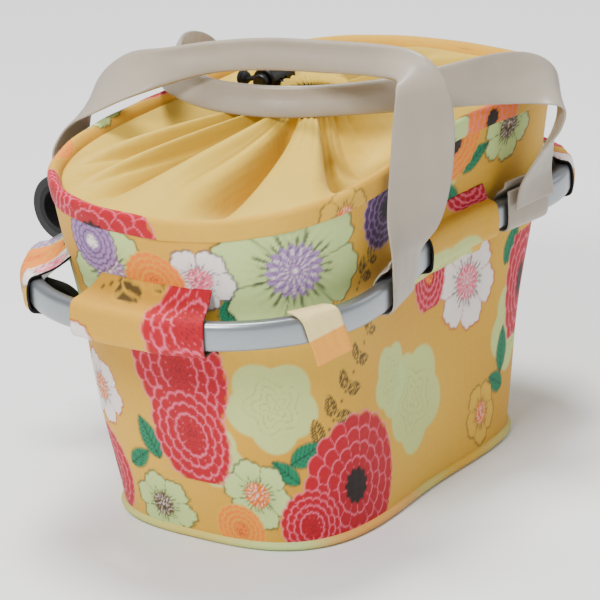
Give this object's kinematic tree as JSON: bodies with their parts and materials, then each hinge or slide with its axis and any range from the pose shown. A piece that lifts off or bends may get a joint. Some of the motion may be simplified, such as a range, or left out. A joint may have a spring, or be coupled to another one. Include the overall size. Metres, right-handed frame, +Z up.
{
  "type": "handlebar basket",
  "caption": "Fabric handlebar basket on an oval aluminium ring, with drawstring liner, two webbing carry handles and a push-button quick-release handlebar coupling.",
  "frame": {"origin": "middle of the floor's underside", "axes": "+Z up, X across the bicycle along the basket's long side, -Y forwards, +Y towards the handlebar"},
  "size_m": [0.3684, 0.2987, 0.2742],
  "materials": {
    "printed_fabric": "woven polyester with a printed floral pattern",
    "printed_trim": "printed binding",
    "piping": "woven piping",
    "board": "matt board",
    "tube": "satin anodised",
    "label": "woven, blank",
    "webbing": "smooth webbing",
    "liner_fabric": "thin woven lining",
    "cord": "braided",
    "black_plastic": "satin moulded",
    "dark_grey_plastic": "satin moulded",
    "red_plastic": "gloss moulded",
    "spring": "bright wire",
    "screw_steel": "zinc plated",
    "shim_rubber": "matt"
  },
  "bodies": {
    "basket": {"basket_wall": "printed_fabric", "floor_panel": "printed_fabric", "rim_binding": "printed_trim", "base_piping": "piping", "bottom_board": "board", "rear_stiffener": "board", "backing_plate": "black_plastic", "frame_tube": "tube", "tube_joiner": "tube", "tunnel_near": "printed_fabric", "tunnel_front": "printed_fabric", "tunnel_far": "printed_fabric", "tunnel_rear_near": "printed_fabric", "tunnel_rear_far": "printed_fabric", "label_patch": "label", "handle_near_loops": "webbing", "handle_far_loops": "webbing", "drawstring_liner": "liner_fabric", "drawstring_cord": "cord", "drawstring_tail_near": "cord", "drawstring_tail_far": "cord", "cord_knot": "cord", "cord_lock_body": "black_plastic", "cord_lock_spring": "spring", "hook_plate": "black_plastic", "plate_screws": "screw_steel", "plate_nuts": "screw_steel"},
    "near_handle": {"handle_near": "webbing"},
    "far_handle": {"handle_far": "webbing"},
    "bracket": {"bracket_housing": "black_plastic", "clamp_cap_near": "black_plastic", "clamp_cap_far": "black_plastic", "clamp_screws": "screw_steel", "clamp_nuts": "screw_steel", "bar_shims": "shim_rubber", "latch_spring": "spring"},
    "button": {"release_button": "red_plastic"},
    "latch": {"latch_bolt": "dark_grey_plastic"},
    "lock_plunger": {"cord_lock_plunger": "black_plastic"}
  },
  "joints": [
    {"name": "handle_near_hinge", "type": "hinge", "parent": "basket", "child": "near_handle", "pos_m": [-0.062, 0, 0.163], "axis": [0, -1, 0], "range_deg": [0, 20]},
    {"name": "handle_far_hinge", "type": "hinge", "parent": "basket", "child": "far_handle", "pos_m": [0.084, 0, 0.163], "axis": [0, 1, 0], "range_deg": [0, 110]},
    {"name": "bracket_slide", "type": "slide", "parent": "basket", "child": "bracket", "axis": [0, 0, -1], "range_m": [0, 0.08]},
    {"name": "button_press", "type": "slide", "parent": "bracket", "child": "button", "axis": [0, 0, -1], "range_m": [0, 0.0042], "stiffness_N_per_m": 600, "springref_m": -0.003},
    {"name": "latch_slide", "type": "slide", "parent": "bracket", "child": "latch", "axis": [0, 1, 0], "range_m": [0, 0.0042], "stiffness_N_per_m": 400, "springref_m": -0.003, "deforming": ["latch_spring"]},
    {"name": "plunger_press", "type": "slide", "parent": "basket", "child": "lock_plunger", "axis": [1, 0, 0], "range_m": [0, 0.0035], "stiffness_N_per_m": 500, "springref_m": -0.003, "deforming": ["cord_lock_spring"]}
  ],
  "couplings": [
    {"joint": "latch_slide", "follows": "button_press", "ratio": 1}
  ]
}
